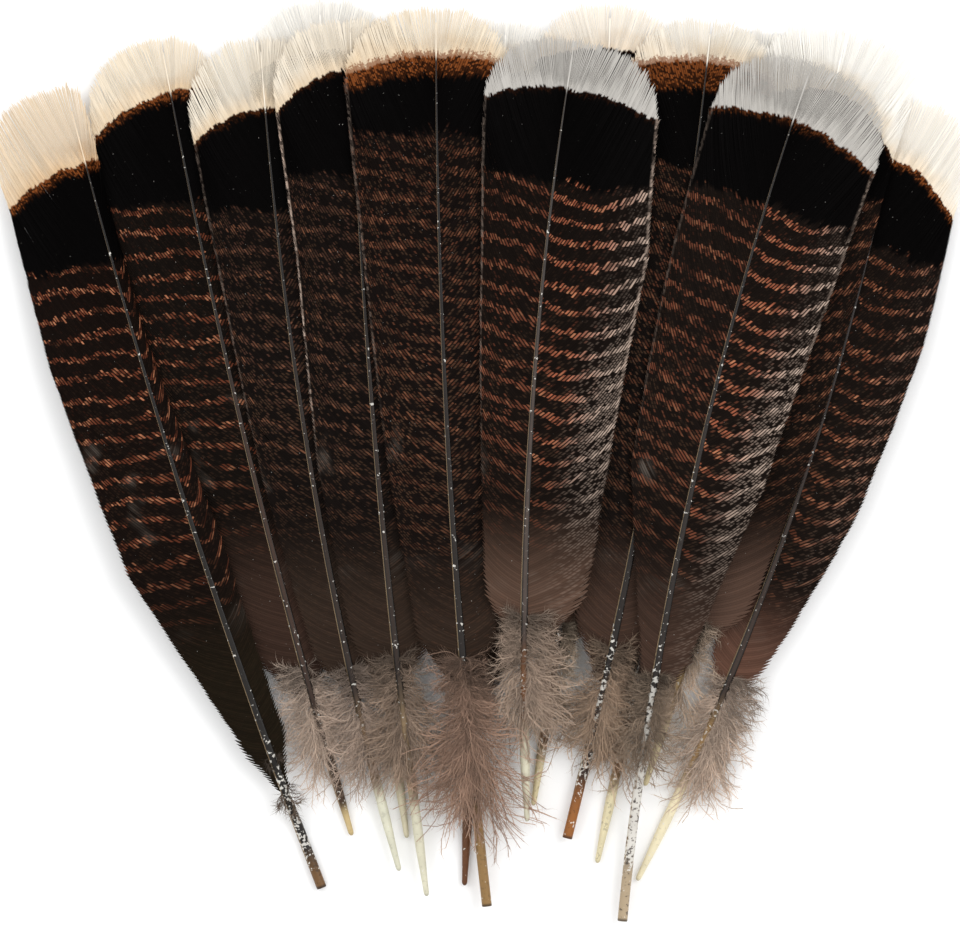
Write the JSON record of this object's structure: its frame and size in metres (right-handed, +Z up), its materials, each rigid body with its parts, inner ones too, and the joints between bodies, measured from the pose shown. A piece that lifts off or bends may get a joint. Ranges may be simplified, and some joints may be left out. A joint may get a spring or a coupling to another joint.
{
  "type": "fan of quill feathers",
  "caption": "Fan of loose barred tail feathers with round bare quills, dark barred vanes and pale tips, each turning about its quill end.",
  "frame": {"origin": "centre of the fan's outline, on the table that it lies on", "axes": "+Z up from the table, +X across the fan, +Y from the quill ends towards the tips"},
  "size_m": [0.3825, 0.3684, 0.0209],
  "materials": {
    "quill_keratin": "satin keratin, pale at the bare quill and dark brown and glossy along the vanes",
    "vane_barbs": "matte barred brown barbs with a black band and a cream tip",
    "down": "loose matte grey-brown down"
  },
  "bodies": {
    "feather_01": {"feather_01_shaft": "quill_keratin", "feather_01_left_vane": "vane_barbs", "feather_01_right_vane": "vane_barbs", "feather_01_down": "down"},
    "feather_02": {"feather_02_shaft": "quill_keratin", "feather_02_left_vane": "vane_barbs", "feather_02_right_vane": "vane_barbs", "feather_02_down": "down"},
    "feather_03": {"feather_03_shaft": "quill_keratin", "feather_03_left_vane": "vane_barbs", "feather_03_right_vane": "vane_barbs", "feather_03_down": "down"},
    "feather_04": {"feather_04_shaft": "quill_keratin", "feather_04_left_vane": "vane_barbs", "feather_04_right_vane": "vane_barbs", "feather_04_down": "down"},
    "feather_05": {"feather_05_shaft": "quill_keratin", "feather_05_left_vane": "vane_barbs", "feather_05_right_vane": "vane_barbs", "feather_05_down": "down"},
    "feather_06": {"feather_06_shaft": "quill_keratin", "feather_06_left_vane": "vane_barbs", "feather_06_right_vane": "vane_barbs", "feather_06_down": "down"},
    "feather_07": {"feather_07_shaft": "quill_keratin", "feather_07_left_vane": "vane_barbs", "feather_07_right_vane": "vane_barbs", "feather_07_down": "down"},
    "feather_08": {"feather_08_shaft": "quill_keratin", "feather_08_left_vane": "vane_barbs", "feather_08_right_vane": "vane_barbs", "feather_08_down": "down"},
    "feather_09": {"feather_09_shaft": "quill_keratin", "feather_09_left_vane": "vane_barbs", "feather_09_right_vane": "vane_barbs", "feather_09_down": "down"},
    "feather_10": {"feather_10_shaft": "quill_keratin", "feather_10_left_vane": "vane_barbs", "feather_10_right_vane": "vane_barbs", "feather_10_down": "down"},
    "feather_11": {"feather_11_shaft": "quill_keratin", "feather_11_left_vane": "vane_barbs", "feather_11_right_vane": "vane_barbs", "feather_11_down": "down"},
    "feather_12": {"feather_12_shaft": "quill_keratin", "feather_12_left_vane": "vane_barbs", "feather_12_right_vane": "vane_barbs", "feather_12_down": "down"},
    "feather_13": {"feather_13_shaft": "quill_keratin", "feather_13_left_vane": "vane_barbs", "feather_13_right_vane": "vane_barbs", "feather_13_down": "down"},
    "feather_14": {"feather_14_shaft": "quill_keratin", "feather_14_left_vane": "vane_barbs", "feather_14_right_vane": "vane_barbs", "feather_14_down": "down"}
  },
  "joints": [
    {"name": "feather_01_turn", "type": "hinge", "parent": "feather_07", "child": "feather_01", "pos_m": [-0.064, -0.171, 0.002], "axis": [0, 0, 1], "range_deg": [-3, 8]},
    {"name": "feather_02_turn", "type": "hinge", "parent": "feather_07", "child": "feather_02", "pos_m": [-0.052, -0.15, 0.002], "axis": [0, 0, 1], "range_deg": [-3, 6]},
    {"name": "feather_03_turn", "type": "hinge", "parent": "feather_07", "child": "feather_03", "pos_m": [-0.033, -0.164, 0.0045], "axis": [0, 0, 1], "range_deg": [-3, 4]},
    {"name": "feather_04_turn", "type": "hinge", "parent": "feather_07", "child": "feather_04", "pos_m": [-0.03, -0.151, 0.002], "axis": [0, 0, 1], "range_deg": [-3, 3]},
    {"name": "feather_05_turn", "type": "hinge", "parent": "feather_07", "child": "feather_05", "pos_m": [-0.022, -0.174, 0.0055], "axis": [0, 0, 1], "range_deg": [-3, 3]},
    {"name": "feather_06_turn", "type": "hinge", "parent": "feather_07", "child": "feather_06", "pos_m": [0.002, -0.178, 0.0065], "axis": [0, 0, 1], "range_deg": [-3, 3]},
    {"name": "feather_08_turn", "type": "hinge", "parent": "feather_07", "child": "feather_08", "pos_m": [0.018, -0.144, 0.0085], "axis": [0, 0, -1], "range_deg": [-3, 3]},
    {"name": "feather_09_turn", "type": "hinge", "parent": "feather_07", "child": "feather_09", "pos_m": [0.0205, -0.138, 0.002], "axis": [0, 0, -1], "range_deg": [-3, 3]},
    {"name": "feather_10_turn", "type": "hinge", "parent": "feather_07", "child": "feather_10", "pos_m": [0.034, -0.151, 0.0045], "axis": [0, 0, -1], "range_deg": [-3, 3]},
    {"name": "feather_11_turn", "type": "hinge", "parent": "feather_07", "child": "feather_11", "pos_m": [0.046, -0.161, 0.002], "axis": [0, 0, -1], "range_deg": [-3, 4]},
    {"name": "feather_12_turn", "type": "hinge", "parent": "feather_07", "child": "feather_12", "pos_m": [0.056, -0.184, 0.0055], "axis": [0, 0, -1], "range_deg": [-3, 5]},
    {"name": "feather_13_turn", "type": "hinge", "parent": "feather_07", "child": "feather_13", "pos_m": [0.065, -0.13, 0.005], "axis": [0, 0, -1], "range_deg": [-3, 5]},
    {"name": "feather_14_turn", "type": "hinge", "parent": "feather_07", "child": "feather_14", "pos_m": [0.062, -0.168, 0.002], "axis": [0, 0, -1], "range_deg": [-2.5, 8]}
  ]
}
